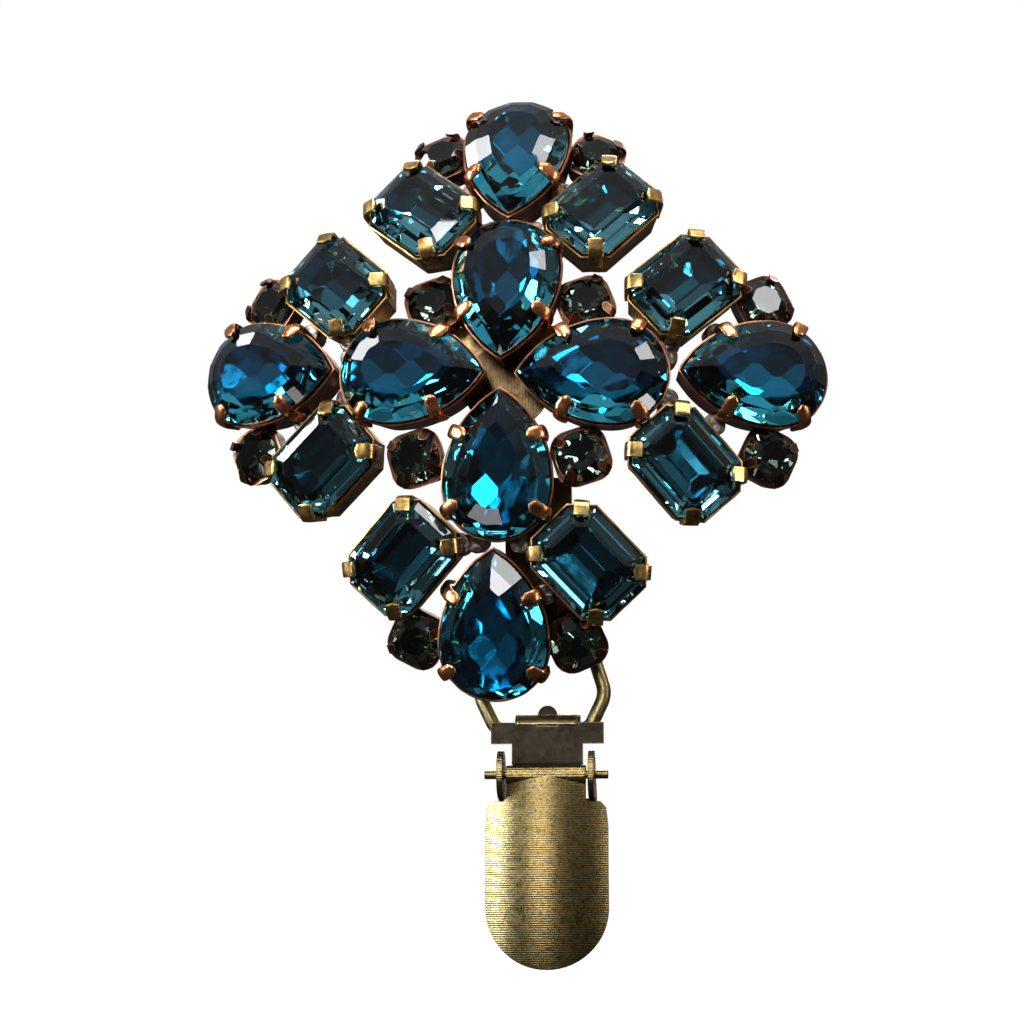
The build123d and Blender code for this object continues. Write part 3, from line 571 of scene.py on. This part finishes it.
def solder_lumps(node):
    """Soft solder: the CAD plugs, swollen so that thin parts hold together, smoothed and made crusty."""
    work = bmesh.new()
    work.from_mesh(frame["nodes"][node].data)
    bmesh.ops.remove_doubles(work, verts=work.verts, dist=0.001 * MM)
    piece = to_object(work, node + "_lumps", METAL["solder"], node, True)
    swell = piece.modifiers.new("swell", "DISPLACE")
    swell.strength, swell.mid_level = SOLDER_SWELL, 0.0
    remesh = piece.modifiers.new("remesh", "REMESH")
    remesh.mode, remesh.voxel_size = "VOXEL", SOLDER_VOXEL
    smooth = piece.modifiers.new("soft", "SMOOTH")
    smooth.factor, smooth.iterations = 0.5, 9
    bpy.context.view_layer.objects.active = piece
    for name in ("swell", "remesh", "soft"):
        bpy.ops.object.modifier_apply(modifier=name)
    crusted = []
    for vert in piece.data.vertices:
        crust = vector_noise.fractal(vert.co * 900.0, 0.9, 2.0, 4)
        crusted.extend(vert.co + vert.normal * (SOLDER_RISE + SOLDER_CRUST * crust))
    piece.data.vertices.foreach_set("co", crusted)
    for face in piece.data.polygons:
        face.use_smooth = True


LIP_HALF_WIDTH, LIP_THICKNESS, LIP_RADIUS = 3.7 * MM, 0.16 * MM, 1.75 * MM
LIP_SINK = 0.05 * MM
LIP_START, LIP_ARC, LIP_STEPS = 8, 66, 8  # degrees forward of straight up, and how many steps
LIP_STATIONS = (-1, -0.985, -0.9, 0, 0.9, 0.985, 1)     # shares of its half width


def fold_lip():
    """The lip of the clip's folded tab, round the swing's axis. It is part of the dark tab, but it
    takes the ring's brighter brass as a painted highlight on its rolled top."""
    swing = next(joint for joint in RECORD["behaviour"]["joints"] if joint["name"] == "clip_swing")
    axis = Vector(swing["pos_m"])
    angles = [radians(LIP_START + LIP_ARC * step / LIP_STEPS) for step in range(LIP_STEPS + 1)]
    section = [(LIP_RADIUS - LIP_SINK, angle) for angle in angles]
    for step in range(LIP_STEPS, -1, -1):
        crown = sin(pi * (step + 0.6) / (LIP_STEPS + 1.2)) ** 0.4
        section.append((LIP_RADIUS + LIP_THICKNESS * crown, angles[step]))
    work = bmesh.new()
    rings = []
    for share in LIP_STATIONS:
        inset = 0.7 if abs(share) == 1 else 1.0
        ring = []
        for radius, angle in section:
            out = LIP_RADIUS + (radius - LIP_RADIUS) * inset
            spot = Vector((share * LIP_HALF_WIDTH, -out * sin(angle), out * cos(angle)))
            ring.append(work.verts.new(axis + spot))
        rings.append(ring)
    skin(work, rings)
    # ring_brass here is a painted highlight: the lip's rolled top made brighter than the tab's own brass.
    finished(work, "fold_lip", METAL["ring_brass"], "clip_back_jaw", False)


fold_lip()
for node in NODES:
    if SLOT_OF[node] in GLASS:
        glass_body(node)
        foil_shell(node)
    elif node.startswith("pear_setting"):
        pear_setting(node)
    elif node.startswith("octagon_setting"):
        octagon_setting(node)
    elif node == "solder_joints":
        solder_lumps(node)
    else:
        cad = frame["nodes"][node]
        cad.data.materials.clear()
        cad.data.materials.append(METAL[SLOT_OF[node]])


# ---------------------------------------------------------------- stage, light and camera
AIM = Vector((0.45, -5.9, -20.9)) * MM    # the point that the camera and the lights face
CAMERA_AZIMUTH, CAMERA_ELEVATION, CAMERA_DISTANCE = 5, -9.5, 312 * MM
LENS, SENSOR = 89.5, 36.0
FLOOR_GAP = 30 * MM
FLOOR_SIZE = 40.0
FLOOR_SUN = 3.4
WORLD_STRENGTH = 0.68

# The lights in front and behind. Each group of pieces has its own, so that the glass mirrors small
# panels and the metal large ones: (name, azimuth, elevation, distance, size, power, group, colour).
WHITE = (1, 1, 1)
SOFTBOXES = [
    ("metal_left", -66, 14, 0.45, (0.08, 0.30), 3.0, "on_metal", WHITE),
    ("metal_front", -14, 24, 0.5, (0.07, 0.22), 1.5, "on_metal", (1, 0.97, 0.92)),
    ("clip_left", -56, 12, 0.45, (0.14, 0.30), 4.4, "on_clip", (0.72, 0.84, 1.0)),
    ("clip_front", -9, 12, 0.5, (0.15, 0.27), 1.35, "on_clip", WHITE),
    ("clip_right", 62, 12, 0.5, (0.05, 0.30), 0.5, "on_clip", WHITE),
    ("clip_top", 10, 66, 0.5, (0.40, 0.20), 2.0, "on_clip", WHITE),
    ("metal_top", 10, 66, 0.5, (0.40, 0.20), 2.4, "on_metal", WHITE),
    ("metal_right", 72, 10, 0.5, (0.05, 0.30), 0.9, "on_metal", (1, 0.95, 0.88)),
    ("stone_left", -92, 40, 0.5, (0.22, 0.20), 1.7, "on_stones", WHITE),
    ("stone_right", 48, 42, 0.5, (0.20, 0.18), 1.1, "on_stones", WHITE),
    ("stone_low", -30, -44, 0.5, (0.20, 0.16), 0.4, "on_stones", WHITE),
    ("stone_low_right", 55, -25, 0.5, (0.16, 0.16), 0.9, "on_stones", WHITE),
    ("stone_front", 16, 14, 0.6, (0.12, 0.12), 0.8, "on_stones", WHITE),
    ("back", 172, 45, 0.6, (0.5, 0.35), 3.2, "on_metal", WHITE),
    ("clip_back", 168, 25, 0.6, (0.4, 0.4), 3.0, "on_clip", WHITE),
]


def receivers(name, members):
    """A collection of the pieces that a light falls on."""
    group = bpy.data.collections.new(name)
    for member in members:
        group.objects.link(member)
    return group


def floor():
    """A pale floor under the object with a sun of its own; it isn't mirrored in glass or metal."""
    bpy.ops.mesh.primitive_plane_add(size=FLOOR_SIZE, location=(0, 0, CAD_BOX[0][2] - FLOOR_GAP))
    plane = bpy.context.object
    plane.name = "floor"
    material, tree, shader = new_material("pale_floor")
    grain = noise(tree, object_position(tree), 40.0, 3.0)
    join(tree, grey_ramp(tree, grain, [(0.3, 0.93), (0.7, 0.96)]), shader.inputs["Base Color"])
    shader.inputs["Roughness"].default_value = 0.9
    plane.data.materials.append(material)
    plane.visible_glossy = False
    plane.visible_transmission = False
    lamp = bpy.data.objects.new("floor_light", bpy.data.lights.new("floor_light", "SUN"))
    lamp.data.energy = FLOOR_SUN
    lamp.data.angle = radians(60)
    bpy.context.collection.objects.link(lamp)
    lamp.light_linking.receiver_collection = receivers("only_floor", [plane])


def world():
    """White to the eye, and a soft dim surround for what the metal and glass mirror."""
    scene_world = bpy.data.worlds.new("studio")
    bpy.context.scene.world = scene_world
    scene_world.use_nodes = True
    tree = scene_world.node_tree
    background = next(n for n in tree.nodes if n.type == "BACKGROUND")
    seen = add(tree, "ShaderNodeBackground", Color=(1, 1, 1, 1), Strength=1.0)
    sky = add(tree, "ShaderNodeTexCoord").outputs["Generated"]
    height = add(tree, "ShaderNodeSeparateXYZ")
    join(tree, sky, height.inputs[0])
    join(tree, grey_ramp(tree, height.outputs["Z"], [(0.0, 0.07), (0.3, 0.30), (0.9, 0.7)]),
         background.inputs["Color"])
    background.inputs["Strength"].default_value = WORLD_STRENGTH
    path = add(tree, "ShaderNodeLightPath")
    chooser = add(tree, "ShaderNodeMixShader")
    output = next(n for n in tree.nodes if n.type == "OUTPUT_WORLD")
    join(tree, path.outputs["Is Camera Ray"], chooser.inputs[0])
    join(tree, background.outputs[0], chooser.inputs[1])
    join(tree, seen.outputs[0], chooser.inputs[2])
    join(tree, chooser.outputs[0], output.inputs["Surface"])


def direction(azimuth, elevation):
    """From the object towards a viewer at this azimuth and elevation, in degrees."""
    a, e = radians(azimuth), radians(elevation)
    return Vector((sin(a) * cos(e), -cos(a) * cos(e), sin(e)))


def face_aim(thing):
    thing.rotation_euler = (AIM - thing.location).to_track_quat("-Z", "Y").to_euler()


def softbox(name, azimuth, elevation, distance, size, power, group, colour):
    data = bpy.data.lights.new(name, "AREA")
    data.shape = "RECTANGLE"
    data.size, data.size_y = size
    data.energy = power
    data.color = colour
    lamp = bpy.data.objects.new(name, data)
    bpy.context.collection.objects.link(lamp)
    lamp.light_linking.receiver_collection = group
    lamp.location = AIM + direction(azimuth, elevation) * distance
    face_aim(lamp)


def camera():
    data = bpy.data.cameras.new("camera")
    data.lens = LENS
    data.sensor_width = SENSOR
    data.clip_start, data.clip_end = 0.01, 20
    eye = bpy.data.objects.new("camera", data)
    bpy.context.collection.objects.link(eye)
    eye.location = AIM + direction(CAMERA_AZIMUTH, CAMERA_ELEVATION) * CAMERA_DISTANCE
    face_aim(eye)
    bpy.context.scene.camera = eye


floor()
world()
pieces = [thing for thing in bpy.context.scene.objects if thing.type == "MESH" and thing.name != "floor"]
stones = [piece for piece in pieces if piece.name.endswith(("_glass", "_foil"))]
clip_pieces = [frame["nodes"][node] for node in NODES if node.startswith(("clip", "ring"))]
clip_pieces.append(bpy.data.objects["fold_lip"])
GROUPS = {
    "on_stones": receivers("on_stones", stones),
    "on_clip": receivers("on_clip", clip_pieces),
    "on_metal": receivers("on_metal", [piece for piece in pieces if piece not in stones + clip_pieces]),
}
for *beam, group, colour in SOFTBOXES:
    softbox(*beam, GROUPS[group], colour)
camera()
bpy.context.scene.view_settings.view_transform = "Standard"
